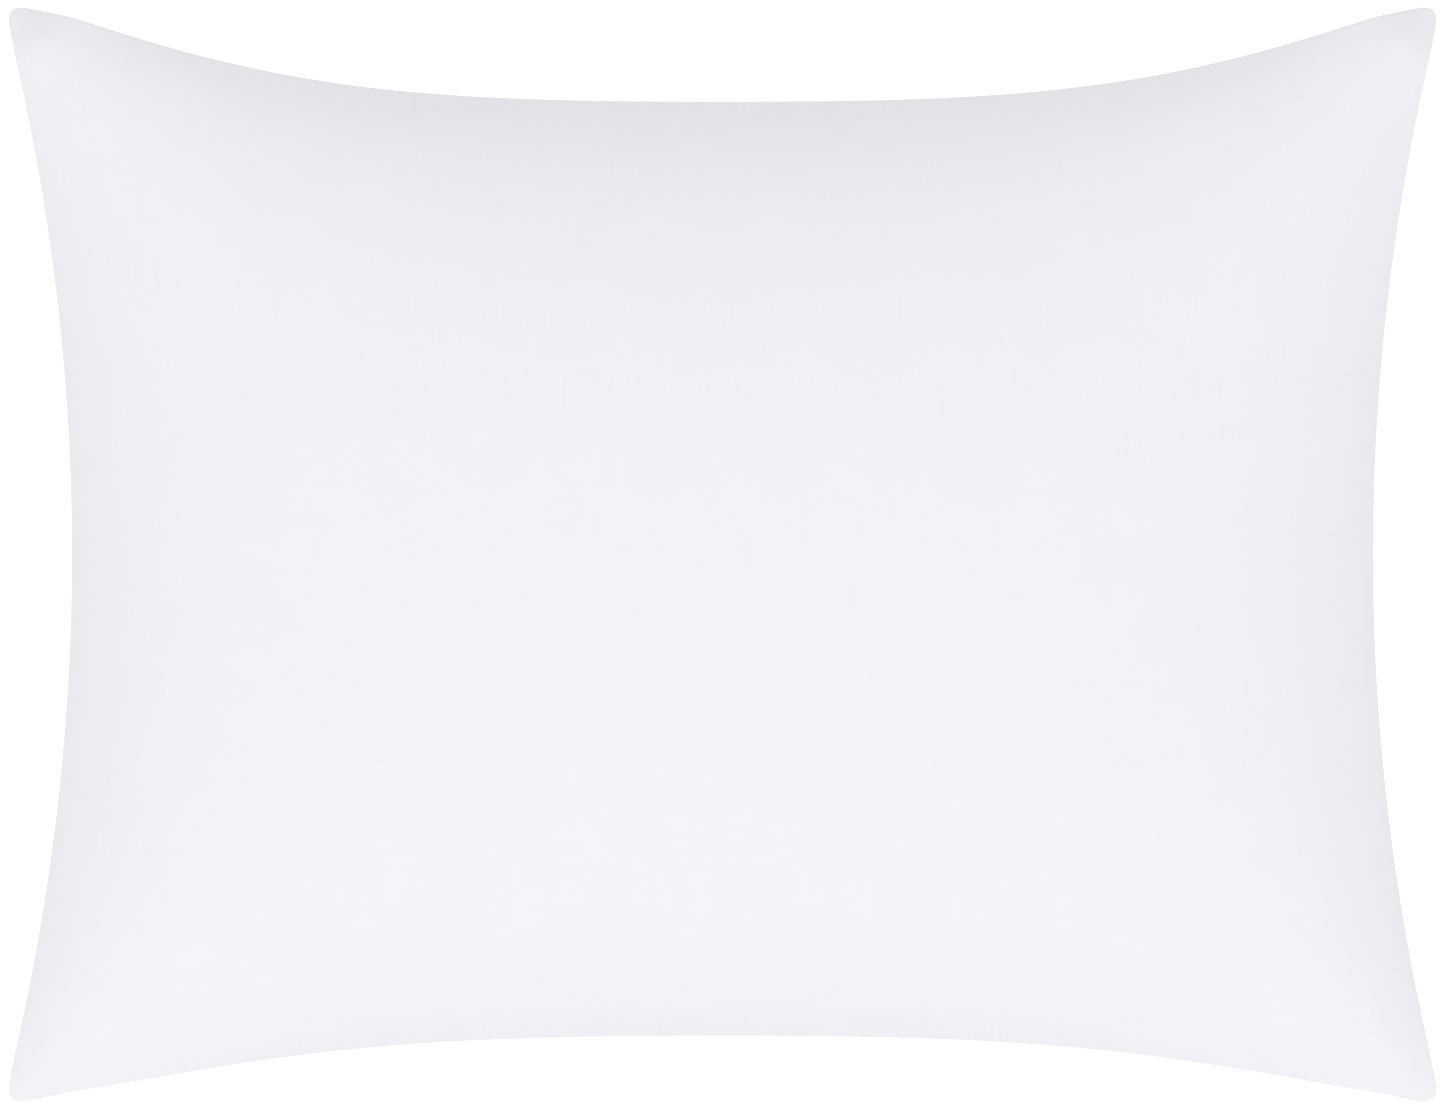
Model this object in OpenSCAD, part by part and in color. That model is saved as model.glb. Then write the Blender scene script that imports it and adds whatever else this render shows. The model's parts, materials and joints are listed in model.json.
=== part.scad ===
// Bed pillow: a knife-edge woven cover, closed by a zip under one short edge, over an
// inner pillow of two liner panels and loose fibre.
// It lies flat on a surface with its long side along X and +Z up. The origin is on that
// surface, under the middle of the pillow. All sizes are in millimetres.

/* [Pillow] */
// Length over the corner tips, along X
pillow_length = 652; // [540:2:800]
// Width over the corner tips, along Y
pillow_width = 500; // [410:2:620]
// Height of the crown above the surface that the pillow lies on
loft = 178; // [130:2:220]
// Height of the seam above that surface
seam_height = 74; // [50:1:95]
// How far the middle of each long edge pulls in from its corners
long_edge_pull = 39; // [10:1:50]
// How far the middle of each short edge pulls in from its corners
short_edge_pull = 32; // [10:1:40]
// How far the middles of both long edges lie towards -Y, because the fill has settled that way
edge_sway = 6.5; // [0:0.5:12]
// How far the corner tips hang below the rest of the seam
corner_droop = 16; // [0:1:30]
// Radius of each corner tip, seen from above
tip_radius = 5.5; // [3:0.5:10]
// Width of the flat lip that the seam makes along the edge
lip_width = 6; // [2:0.5:14]
// Share of the full crown at which the back panel reaches the surface it lies on
contact_share = 0.74; // [0.5:0.02:0.9]

/* [Cover] */
// Thickness of the cover cloth
cover_cloth = 0.8; // [0.4:0.1:1.4]
// Width of the seam allowance, which is turned to the inside
seam_allowance = 9; // [6:0.5:12]
// Thickness of the sewing thread
thread_size = 0.3; // [0.2:0.05:0.4]
// Distance of the seam thread from the edge
thread_inset = 2; // [1.5:0.25:4]

/* [Zip] */
// Distance from the corner tip to the mouth of the zip, along the short edge
mouth_margin = 44; // [40:1:90]
// Width of each tape beside its coil
tape_width = 9.6; // [8:0.2:12]
// Thickness of the tape
tape_thickness = 0.5; // [0.4:0.05:0.7]
// Distance from the edge of the cover to the outer tape
tape_margin = 1.2; // [0.5:0.1:4]
// Length of plain tape beyond each stop
tape_tail = 12; // [6:1:18]
// Width of one coil row
coil_width = 2.4; // [1.8:0.1:3]
// Height of the coil rows
coil_height = 2.2; // [1.8:0.1:3]
// Slit between the two coil rows, where the slider's post runs
coil_slit = 1; // [1:0.1:1.6]
// Length of the stops at the ends of the zip
stop_length = 2.5; // [2:0.5:4]
// Length of one stitch that holds a tape
stitch_length = 2.6; // [2:0.1:3.5]
// Distance from one stitch to the next
stitch_pitch = 4; // [3.9:0.1:6]

/* [Slider and pull] */
// Length of the slider along the zip
slider_length = 9; // [8:0.5:12]
// Thickness of the slider's two plates
slider_plate = 0.8; // [0.6:0.1:1.2]
// Thickness of the flanges at the slider's sides
slider_flange = 0.9; // [0.7:0.1:1.4]
// Length of the bridge that holds the pull
bridge_length = 6; // [5:0.5:7.5]
// Width and thickness of the bridge
bridge_bar = 1.2; // [0.9:0.1:1.6]
// Clear space round every face that slides or turns
slide_gap = 0.35; // [0.3:0.05:0.45]
// Length of the pull below its hinge
pull_length = 22; // [14:1:26]
// Width of the pull
pull_width = 6; // [5.5:0.5:8]
// Thickness of the pull
pull_thickness = 1; // [0.8:0.1:1.4]

/* [Inner pillow] */
// Thickness of the liner cloth
liner_cloth = 0.6; // [0.4:0.1:1]
// Width of the liner's seam allowance
liner_allowance = 8; // [5:0.5:10]
// Distance from whatever the cover holds inside its edge to the edge of the inner pillow
insert_clearance = 5; // [3:0.5:12]
// Space between one layer and the next
layer_gap = 1.5; // [1.2:0.1:3]
// Length of the seam that closes the liner after filling
closing_length = 260; // [160:10:320]
// Width of the care label
label_width = 40; // [25:1:60]
// Length of the care label outside the liner's seam
label_length = 16; // [10:1:18]
// Thickness of the care label
label_cloth = 0.3; // [0.2:0.05:0.4]

/* [Hidden] */

cloth_white = [0.94, 0.94, 0.96];
liner_white = [0.97, 0.97, 0.95];
thread_white = [0.9, 0.9, 0.92];
nylon_white = [0.88, 0.88, 0.9];
metal_grey = [0.72, 0.73, 0.75];

// Edge curves. A short edge is an arc of a circle, and a long edge is flatter in the
// middle and turns out faster towards its corners.
// At its tips a long edge climbs by end_slope times its pull over half its length.
end_slope = 1.6;
half_length = pillow_length / 2;
half_width = pillow_width / 2;
function arc_through(half_chord, pull) = pow(half_chord, 2) / (2 * pull) + pull / 2;
short_tilt = asin(half_width / arc_through(half_width, short_edge_pull));
long_tilt = atan(end_slope * long_edge_pull / half_length);

// A corner tip is an arc that touches both edges. The edges would meet at the corner.
half_corner = (90 - short_tilt - long_tilt) / 2;
tip_bisector = 180 + long_tilt + half_corner;
tip_offset = tip_radius / sin(half_corner) * [cos(tip_bisector), sin(tip_bisector)];
tip_reach = tip_radius / tan(half_corner);
tip_centre = [half_length - tip_radius, half_width - tip_radius];
corner_x = tip_centre[0] - tip_offset[0];
corner_y = tip_centre[1] - tip_offset[1];
arc_radius = arc_through(corner_y, short_edge_pull);
waist_x = corner_x - short_edge_pull;
arc_centre_x = waist_x + arc_radius;
function long_edge_share(t) = pow(t, 2) * (0.3 + end_slope * pow(t, 2) - 0.9 * pow(t, 4));
function short_edge_x(y) = arc_centre_x - sqrt(pow(arc_radius, 2) - pow(y, 2));
function long_edge_y(x) = corner_y - long_edge_pull * (1 - long_edge_share(abs(x) / corner_x));
function sway(x) = edge_sway * (1 - pow(min(abs(x) / waist_x, 1), 4));

// Zip sizes that follow from the pieces that run in one another
chain_half = coil_slit / 2 + coil_width;
slider_half = chain_half + slide_gap + slider_flange;
channel_half = coil_height / 2 + slide_gap;
slider_depth = channel_half + slider_plate;
post_width = coil_slit - 2 * slide_gap;
chain_inset = tape_margin + tape_width + chain_half;
zip_allowance = chain_inset - slider_half - slide_gap;
mouth_inset = chain_inset + slider_half + slide_gap;
back_tape_end = chain_inset + chain_half + tape_width;
mouth_half = pillow_width / 2 - mouth_margin;
mouth_fade = 20;
slider_reach = mouth_half - pull_length - slide_gap;
chain_half_length = slider_reach + slider_length / 2 + slide_gap;
tape_half_length = chain_half_length + stop_length + tape_tail;
chain_radius = arc_radius + chain_inset;
function zip_angle(along) = along / chain_radius * 180 / PI;
pull_bar = 1.2;
window_height = pull_bar + 2 * slide_gap;
hinge_drop = slider_depth + window_height / 2;
bridge_drop = window_height / 2 + bridge_bar;
pull_eye = norm([bridge_length / 2, bridge_drop]) + pull_thickness / 2 + slide_gap;
arm_inner = bridge_bar / 2 + slide_gap;
arm_width = 1;

// Inner pillow sizes. Its outline is the cover's, made smaller until it keeps insert_inset
// clear of the middle of the long edges and of the whole length of the short edges.
insert_inset = max(back_tape_end, mouth_inset + seam_allowance) + insert_clearance;
insert_y_scale = 1 - insert_inset / long_edge_y(0);
insert_x_scale = (short_edge_x(insert_y_scale * corner_y) - insert_inset) / corner_x;
insert_scale = [insert_x_scale, insert_y_scale];
fill_inset = liner_allowance + layer_gap;
insert_floor = cover_cloth + layer_gap;
fill_floor = insert_floor + liner_cloth + layer_gap;
// How much lower a back panel is shaped before it is cut level
trim = 1.2;

// Outline of the cover, seen from above, counter-clockwise from the middle of the edge at
// +X. The same number of points runs along each quarter.
mouth_end = mouth_half + mouth_fade;
tip_start = corner_y - tip_reach;
mouth_shares = [for (y = [mouth_half, mouth_half + mouth_fade / 2, mouth_end,
    (mouth_end + tip_start) / 2, tip_start]) y / corner_y];
side_shares = [for (i = [0:4]) i / 5 * mouth_shares[0]];
quarter = concat(
    [for (t = concat(side_shares, mouth_shares))
        [short_edge_x(t * corner_y), t * corner_y]],
    [for (a = [0:30:90]) tip_centre + tip_radius * [cos(a), sin(a)]],
    [for (i = [0:8]) let (t = (1 - tip_reach / corner_x) * sin(90 * (1 - i / 8)))
        [t * corner_x, long_edge_y(t * corner_x)]]);
last = len(quarter) - 1;
whole = concat(quarter,
    [for (i = [last - 1:-1:0]) [-quarter[i][0], quarter[i][1]]],
    [for (i = [1:last]) [-quarter[i][0], -quarter[i][1]]],
    [for (i = [last - 1:-1:1]) [quarter[i][0], -quarter[i][1]]]);
outline = [for (p = whole) [p[0], p[1] - sway(p[0])]];
count = len(outline);

// Where the back panel is drawn back from the edge, to open the mouth of the zip
function mouth_share(p) = p[0] < waist_x - 1 ? 0
    : clamp((mouth_half + mouth_fade - abs(p[1])) / mouth_fade);
function clamp(v) = min(max(v, 0), 1);
function ease(v) = v * v * (3 - 2 * v);
function unit(v) = v / norm(v);
function drawn_back(p) =
    let (away = p - [arc_centre_x, 0])
    p + mouth_inset * ease(mouth_share(p)) * away / norm(away);
front_edge = outline;
back_edge = [for (p = outline) drawn_back(p)];

// Crown of a panel: 0 along the edge and 1 in the middle. Near the edge it starts flat, as
// a lip, and the corners stay thin.
crown_power = 0.53;
crown_fullness = 2.2;
function raised(v) = pow(1 - pow(min(abs(v), 1), crown_fullness), crown_power);
function crown(j, s) =
    let (p = s * outline[j], d = (1 - s) * norm(outline[j]), y = p[1] + s * sway(outline[j][0]))
    raised(p[0] / short_edge_x(y)) * raised(y / long_edge_y(p[0])) * d / (d + lip_width);
top_crown = crown(0, 0);
function full_share(j, s) = crown(j, s) / top_crown;

// Height of the seam at point j of the outline. The droop is whole out to the edge from
// droop_full of the way there, and has faded out at droop_none of the way.
droop_start = 0.86;
droop_full = 0.9;
droop_none = 0.5;
function corner_share(j) =
    clamp((abs(outline[j][0] * outline[j][1]) / (corner_x * corner_y) - droop_start)
        / (1 - droop_start));
function seam_z(j, s) = seam_height - corner_droop * ease(corner_share(j))
    * ease(clamp((s - droop_none) / (droop_full - droop_none)));

// A point on the outer face of a panel. stack is the height from the middle of the seam to
// that face at the edge, and base is the lowest or highest level that the panel reaches.
function front_point(edge, j, s, stack, top) =
    let (z = seam_z(j, s) + stack + (top - seam_height - stack) * full_share(j, s))
    [s * edge[j][0], s * edge[j][1], z];
function back_point(edge, j, s, stack, base) =
    let (left = pow(1 - min(full_share(j, s) / contact_share, 1), 2))
    [s * edge[j][0], s * edge[j][1], (seam_z(j, s) - stack) * left + base * (1 - left)];
function skin_point(up, edge, j, s, stack, level) = up > 0
    ? front_point(edge, j, s, stack, level) : back_point(edge, j, s, stack, level);

// The same point moved inwards by the thickness of the cloth, and no lower than floor
function inner_point(up, edge, j, s, stack, level, cloth, floor) =
    let (
        step = 0.004,
        here = skin_point(up, edge, j, s, stack, level),
        inward = skin_point(up, edge, j, s - step, stack, level)
            - skin_point(up, edge, j, s + step, stack, level),
        around = unit(skin_point(up, edge, (j + 1) % count, s, stack, level) - here)
            + unit(here - skin_point(up, edge, (j + count - 1) % count, s, stack, level)),
        normal = cross(around, inward),
        moved = here - cloth * normal / norm(normal) * sign(normal[2]) * up)
    [moved[0], moved[1], max(moved[2], floor)];

// Where the rings of points lie: distances from the edge near it, then shares of the rest
near_distances = [4, 9, 17, 30, 50];
inner_shares = [0.84, 0.66, 0.45, 0.22];
function ring_share(edge, j, i) =
    let (size = norm(edge[j]), near = len(near_distances))
    i < near ? 1 - near_distances[i] / size
        : (1 - near_distances[near - 1] / size) * inner_shares[i - near];
ring_count = len(near_distances) + len(inner_shares);
function inset_share(edge, j, distance) = 1 - distance / norm(edge[j]);

// Faces between rows of points that close round the outline, with a point at each end. The
// second half of the rows is the inner face of the cloth, so its quads are split the other
// way, along the same lines as those of the outer face.
function lathe_faces(rows, flip) =
    let (
        first = rows * count,
        quads = [for (r = [0:rows - 2]) for (j = [0:count - 1])
            let (
                k = (j + 1) % count,
                a = r * count + j,
                b = r * count + k,
                c = (r + 1) * count + k,
                d = (r + 1) * count + j)
            each r < rows / 2 ? [[a, b, c], [a, c, d]] : [[a, b, d], [b, c, d]]],
        caps = [for (j = [0:count - 1])
            let (k = (j + 1) % count, base = (rows - 1) * count)
            each [[first, k, j], [first + 1, base + j, base + k]]],
        all = concat(quads, caps))
    flip ? [for (f = all) [f[2], f[1], f[0]]] : all;

// A sewn panel: a sheet that folds under at its edge into a seam allowance. up is 1 for a
// front panel and -1 for a back panel. widths holds the allowance at each outline point.
module panel(up, edge, widths, cloth, gap, level, floor = 0) {
    stack = gap / 2 + 2 * cloth;
    fold = 1.5 * cloth;
    function seam_point(j, s, height) =
        [s * edge[j][0], s * edge[j][1], seam_z(j, s) + up * height];
    outer = [for (i = [ring_count - 1:-1:0]) for (j = [0:count - 1])
        skin_point(up, edge, j, ring_share(edge, j, i), stack, level)];
    inner = [for (i = [0:ring_count - 1]) for (j = [0:count - 1])
        inner_point(up, edge, j, ring_share(edge, j, i), stack, level, cloth, floor)];
    hem_sizes = [[0, stack], [0, gap / 2], [1, gap / 2], [1, gap / 2 + cloth]];
    hem = [for (size = hem_sizes) for (j = [0:count - 1])
        seam_point(j, inset_share(edge, j, size[0] * widths[j]), size[1])];
    folded = [for (j = [0:count - 1])
        seam_point(j, inset_share(edge, j, fold), gap / 2 + cloth)];
    middle = skin_point(up, edge, 0, 0, stack, level);
    inner_middle = [0, 0, max(middle[2] - up * cloth, floor)];
    polyhedron(
        points = concat(outer, hem, folded, inner, [middle, inner_middle]),
        faces = lathe_faces(2 * ring_count + 5, up < 0),
        convexity = 8);
}

// A thread that runs along the seam through the outline points in the list stations
module thread(edge, stations, distance) {
    half = thread_size / 2;
    corners = [[-half, -half], [half, -half], [half, half], [-half, half]];
    size = len(stations);
    points = [for (j = stations) for (c = corners)
        let (s = inset_share(edge, j, distance + c[0]))
        [s * edge[j][0], s * edge[j][1], seam_z(j, s) + c[1]]];
    sides = [for (i = [0:size - 2]) for (c = [0:3])
        let (d = (c + 1) % 4)
        each [[4 * i + c, 4 * i + d, 4 * i + 4 + d], [4 * i + c, 4 * i + 4 + d, 4 * i + 4 + c]]];
    end = 4 * (size - 1);
    caps = [[3, 2, 1, 0], [end, end + 1, end + 2, end + 3]];
    polyhedron(points, [for (f = concat(sides, caps)) [for (i = [len(f) - 1:-1:0]) f[i]]],
        convexity = 4);
}

// Pieces of the zip are drawn about the middle of its chain, with x towards the middle of
// the pillow, y towards the open end and z up, and are then carried along the arc.
module along_zip(along) {
    translate([arc_centre_x, 0, seam_height])
        rotate([0, 0, 180 - zip_angle(along)])
            translate([chain_radius, 0, 0])
                children();
}

// A strip that follows the arc, from x to x + width and z to z + height
module arc_strip(x, width, z, height, half_length) {
    turn = 2 * zip_angle(half_length);
    translate([arc_centre_x, 0, seam_height])
        rotate([0, 0, 180 - turn / 2])
            rotate_extrude(angle = turn, $fn = 720)
                translate([chain_radius + x, z])
                    square([width, height]);
}

// A row of straight stitches beside the chain, each a small closed block
module stitch_row(x, z) {
    number = floor(2 * tape_half_length / stitch_pitch) - 1;
    size = [thread_size, stitch_length, thread_size] / 2;
    signs = [[-1, -1, -1], [1, -1, -1], [1, 1, -1], [-1, 1, -1],
        [-1, -1, 1], [1, -1, 1], [1, 1, 1], [-1, 1, 1]];
    block = [[0, 2, 1], [0, 3, 2], [4, 5, 6], [4, 6, 7], [0, 1, 5], [0, 5, 4],
        [1, 2, 6], [1, 6, 5], [2, 3, 7], [2, 7, 6], [3, 0, 4], [3, 4, 7]];
    function stitch_point(i, sign) =
        let (
            turn = 180 - zip_angle((i - (number - 1) / 2) * stitch_pitch),
            out = chain_radius + x + sign[0] * size[0],
            side = sign[1] * size[1])
        [arc_centre_x + out * cos(turn) - side * sin(turn),
            out * sin(turn) + side * cos(turn),
            seam_height + z + sign[2] * size[2]];
    polyhedron(
        points = [for (i = [0:number - 1]) for (sign = signs) stitch_point(i, sign)],
        faces = [for (i = [0:number - 1]) for (f = block) [for (k = [2:-1:0]) f[k] + 8 * i]],
        convexity = 10);
}

module cover_front() {
    widths = [for (p = outline)
        let (m = ease(mouth_share(p))) seam_allowance * (1 - m) + zip_allowance * m];
    color(cloth_white)
        panel(1, front_edge, widths, cover_cloth, tape_thickness, loft);
}

// The back panel is cut level where it rests on the surface.
module cover_back() {
    widths = [for (p = outline) seam_allowance];
    color(cloth_white)
        difference() {
            panel(-1, back_edge, widths, cover_cloth, tape_thickness, -trim, cover_cloth);
            translate([-pillow_length, -pillow_width, -10])
                cube([2 * pillow_length, 2 * pillow_width, 10]);
        }
}

// The seam runs all round, except across the mouth of the zip.
module cover_seam_thread() {
    stations = [for (j = [1:count - 1]) if (mouth_share(outline[j]) == 0) j];
    color(thread_white) thread(front_edge, stations, thread_inset);
}

module zip_tape_front() {
    color(cloth_white)
        arc_strip(-chain_half - tape_width, tape_width, -tape_thickness / 2,
            tape_thickness, tape_half_length);
}

module zip_tape_back() {
    color(cloth_white)
        arc_strip(chain_half, tape_width, -tape_thickness / 2, tape_thickness,
            tape_half_length);
}

module zip_coil_front() {
    color(nylon_white)
        arc_strip(-chain_half, coil_width, -coil_height / 2, coil_height,
            chain_half_length);
}

module zip_coil_back() {
    color(nylon_white)
        arc_strip(coil_slit / 2, coil_width, -coil_height / 2, coil_height,
            chain_half_length);
}

module zip_top_stops() {
    color(nylon_white)
        along_zip(chain_half_length)
            for (x = [-chain_half, coil_slit / 2])
                translate([x, -stop_length, -coil_height / 2])
                    cube([coil_width, stop_length, coil_height]);
}

module zip_bottom_stop() {
    color(nylon_white)
        along_zip(-chain_half_length)
            translate([-chain_half, 0, -coil_height / 2])
                cube([2 * chain_half, stop_length, coil_height]);
}

module zip_stitching_front() {
    color(thread_white)
        stitch_row(-chain_half - tape_width * 0.7, -(tape_thickness + thread_size) / 2);
}

module zip_stitching_back() {
    color(thread_white)
        stitch_row(chain_half + tape_width * 0.7, (tape_thickness + thread_size) / 2);
}

// Two plates with flanges round the coils, joined by the post between the two rows, and a
// bridge underneath that carries the pull
module zip_slider() {
    flange_height = channel_half + slider_plate - tape_thickness / 2 - slide_gap;
    post_length = slider_length / 4;
    bridge_z = -slider_depth - window_height - bridge_bar;
    bridge_height = bridge_bar + window_height + slider_plate / 2;
    color(metal_grey)
        along_zip(slider_reach) {
            for (up = [0, 1])
                mirror([0, 0, up]) {
                    translate([-slider_half, -slider_length / 2, channel_half])
                        cube([2 * slider_half, slider_length, slider_plate]);
                    for (side = [0, 1])
                        mirror([side, 0, 0])
                            translate([slider_half - slider_flange, -slider_length / 2,
                                slider_depth - flange_height])
                                cube([slider_flange, slider_length, flange_height]);
                }
            translate([-post_width / 2, -slider_length / 2, -slider_depth])
                cube([post_width, post_length, 2 * slider_depth]);
            translate([-bridge_bar / 2, -bridge_length / 2, bridge_z])
                cube([bridge_bar, bridge_length, bridge_bar]);
            for (side = [0, 1])
                mirror([0, side, 0])
                    translate([-bridge_bar / 2, bridge_length / 2 - bridge_bar, bridge_z])
                        cube([bridge_bar, bridge_bar, bridge_height]);
        }
}

// The pull hangs from a bar through the bridge, which is its hinge.
module zip_pull() {
    arm_outer = arm_inner + arm_width;
    tip = pull_width / 2;
    color(metal_grey)
        along_zip(slider_reach)
            translate([0, 0, -hinge_drop])
                difference() {
                    union() {
                        rotate([0, 90, 0])
                            cylinder(h = 2 * arm_outer, d = pull_bar, center = true, $fn = 32);
                        for (side = [0, 1])
                            mirror([side, 0, 0])
                                translate([arm_inner, -pull_thickness / 2, -pull_eye - 1])
                                    cube([arm_width, pull_thickness, pull_eye + 1]);
                        translate([-tip, -pull_thickness / 2, tip - pull_length])
                            cube([pull_width, pull_thickness, pull_length - tip - pull_eye]);
                        translate([0, 0, tip - pull_length])
                            rotate([90, 0, 0])
                                cylinder(h = pull_thickness, d = pull_width, center = true,
                                    $fn = 48);
                    }
                    translate([0, 0, tip - pull_length])
                        rotate([90, 0, 0])
                            cylinder(h = 2 * pull_thickness, d = pull_width / 3,
                                center = true, $fn = 32);
                }
}

insert_edge = [for (p = outline) [p[0] * insert_scale[0], p[1] * insert_scale[1]]];
liner_widths = [for (p = outline) liner_allowance];

module insert_front() {
    color(liner_white)
        panel(1, insert_edge, liner_widths, liner_cloth, tape_thickness,
            loft - cover_cloth - layer_gap);
}

module insert_back() {
    color(liner_white)
        panel(-1, insert_edge, liner_widths, liner_cloth, tape_thickness, insert_floor,
            insert_floor + liner_cloth);
}

// The middle of one long edge is left open for filling and closed last.
function closing_stations() =
    [for (j = [0:count - 1]) if (outline[j][1] < 0 && abs(outline[j][0]) <= closing_length / 2) j];

module insert_seam_thread() {
    closing = closing_stations();
    first = closing[len(closing) - 1];
    size = count - len(closing);
    color(thread_white)
        thread(insert_edge, [for (i = [0:size + 1]) (first + i) % count], thread_inset);
}

module insert_closing_thread() {
    color(thread_white)
        thread(insert_edge, closing_stations(), thread_inset + 4 * thread_size);
}

// The label is caught between the two allowances of the liner's seam.
module care_label() {
    middle = waist_x * insert_scale[0];
    color(cloth_white)
        translate([-middle - label_length, -label_width / 2, seam_height - label_cloth / 2])
            cube([label_length + thread_inset / 2, label_width, label_cloth]);
}

module fibre_fill() {
    edge = [for (j = [0:count - 1])
        insert_edge[j] * inset_share(insert_edge, j, fill_inset)];
    half = liner_cloth;
    top = loft - cover_cloth - liner_cloth - 2 * layer_gap;
    rings = ring_count;
    over = [for (i = [rings - 1:-1:0]) for (j = [0:count - 1])
        front_point(edge, j, ring_share(edge, j, i), half, top)];
    rim = [for (up = [1, -1]) for (j = [0:count - 1])
        [edge[j][0], edge[j][1], seam_z(j, 1) + up * half]];
    under = [for (i = [0:rings - 1]) for (j = [0:count - 1])
        back_point(edge, j, ring_share(edge, j, i), half, fill_floor)];
    color([1, 1, 1])
        polyhedron(
            points = concat(over, rim, under,
                [front_point(edge, 0, 0, half, top), back_point(edge, 0, 0, half, fill_floor)]),
            faces = lathe_faces(2 * rings + 2, false),
            convexity = 6);
}

cover_front();
cover_back();
cover_seam_thread();
zip_tape_front();
zip_tape_back();
zip_coil_front();
zip_coil_back();
zip_top_stops();
zip_bottom_stop();
zip_stitching_front();
zip_stitching_back();
zip_slider();
zip_pull();
insert_front();
insert_back();
insert_seam_thread();
insert_closing_thread();
care_label();
fibre_fill();
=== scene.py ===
# %% [markdown]
# # A bed pillow in a zipped cover
# The pillow is a woven cover sewn from two panels with a knife edge, which is a plain seam
# with the allowances turned to the inside. A zip under one short edge opens the cover, and
# an inner pillow of thinner cloth and loose fibre fills it. The CAD model gives every size
# and place. This lesson makes the pieces as cloth, thread, nylon and metal around it.

# %% The CAD frame
import json
import math
import bpy
import numpy as np
from mathutils import Matrix, Vector, noise
from mathutils.bvhtree import BVHTree


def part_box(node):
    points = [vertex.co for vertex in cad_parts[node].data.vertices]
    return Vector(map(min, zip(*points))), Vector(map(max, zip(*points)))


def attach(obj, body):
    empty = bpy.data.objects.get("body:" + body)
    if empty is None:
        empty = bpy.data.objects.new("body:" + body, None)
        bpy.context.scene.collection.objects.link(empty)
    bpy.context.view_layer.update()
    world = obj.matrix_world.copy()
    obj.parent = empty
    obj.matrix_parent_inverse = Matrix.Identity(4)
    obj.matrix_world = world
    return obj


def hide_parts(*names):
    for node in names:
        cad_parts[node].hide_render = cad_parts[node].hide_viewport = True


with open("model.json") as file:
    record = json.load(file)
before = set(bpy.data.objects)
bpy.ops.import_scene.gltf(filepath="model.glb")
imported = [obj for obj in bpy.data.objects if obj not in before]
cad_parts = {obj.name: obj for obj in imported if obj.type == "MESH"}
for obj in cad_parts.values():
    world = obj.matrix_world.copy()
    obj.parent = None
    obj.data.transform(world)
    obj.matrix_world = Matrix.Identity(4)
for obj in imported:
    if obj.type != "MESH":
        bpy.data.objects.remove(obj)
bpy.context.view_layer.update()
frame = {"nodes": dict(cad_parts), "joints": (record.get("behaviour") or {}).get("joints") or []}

# %% [markdown]
# ## Sizes that the frame gives
# The zip's slider turns about the far centre of the short edge's arc, so that joint gives
# the arc's centre and the height of the seam. The middle of each edge is read from the front
# panel's own points. What the frame can't give, such as small clearances and the forms of
# the curves, repeats the values that the CAD was built with.

# %% Edge sizes
joints = {joint["name"]: joint for joint in frame["joints"]}
arc_centre, seam_height = joints["zip_slide"]["pos_m"][0], joints["zip_slide"]["pos_m"][2]
hinge = Vector(joints["zip_pull_swing"]["pos_m"])
front_low, front_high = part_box("cover_front")
middle_band = 0.007


def mesh_points(mesh):
    """All of a mesh's points as rows of x, y and z."""
    flat = np.empty(3 * len(mesh.vertices))
    mesh.vertices.foreach_get("co", flat)
    return flat.reshape(-1, 3)


def reach(node, along, across):
    """How far a node reaches down and up one axis, about where the other axis is zero."""
    spots = mesh_points(frame["nodes"][node].data)
    near = spots[np.abs(spots[:, across]) < middle_band][:, along]
    return float(near.min()), float(near.max())


waist_x = reach("cover_front", 0, 1)[1]
low_edge, high_edge = reach("cover_front", 1, 0)
waist_y, edge_sway = (high_edge - low_edge) / 2, -(high_edge + low_edge) / 2
mouth_inset = waist_x - reach("cover_back", 0, 1)[1]
tape_end_room, mouth_fade, seam_gap = 0.002, 0.020, 0.0005
mouth_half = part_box("zip_tape_back")[1].y + tape_end_room
droop = seam_height + seam_gap / 2 - front_low.z
print("waist", round(waist_x, 4), round(waist_y, 4), "sway", round(edge_sway, 4))
print("mouth set back", round(mouth_inset, 4), "corner droop", round(droop, 4))

# %% [markdown]
# ## The outline
# Cloth that is cut flat as a rectangle pulls in along its edges when it is filled, most in
# the middle of each edge. A short edge becomes an arc, and a long edge is flatter in the
# middle. The corners keep their reach and turn into small points. The fill has settled
# towards one long side, so the middles of both long edges lie a little further that way.

# %% Outline curves
tip_radius = 0.0055
# where the edge curves would meet if the tips weren't rounded
corner_x, corner_y = front_high.x + 0.0020, front_high.y + 0.0015
arc_radius = arc_centre - waist_x
crown_flat, crown_full = 2.2, 0.53


def short_edge_x(y):
    """How far out the short edge lies at y."""
    return arc_centre - np.sqrt(arc_radius ** 2 - y ** 2)


def long_edge_y(x):
    """How far out the long edge lies at x."""
    t = np.abs(x) / corner_x
    share = t ** 2 * (0.3 + 1.6 * t ** 2 - 0.9 * t ** 4)
    return corner_y - (corner_y - waist_y) * (1 - share)


def sway(x):
    """How far the middle has settled towards one long side at x."""
    return edge_sway * (1 - np.minimum(np.abs(x) / waist_x, 1) ** 4)


def ease(v):
    """A smooth step from 0 to 1."""
    v = np.clip(v, 0, 1)
    return v * v * (3 - 2 * v)


def raised(v):
    """1 in the middle and 0 at the edge, as a filled panel stands."""
    return (1 - np.minimum(np.abs(v), 1) ** crown_flat) ** crown_full


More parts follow.
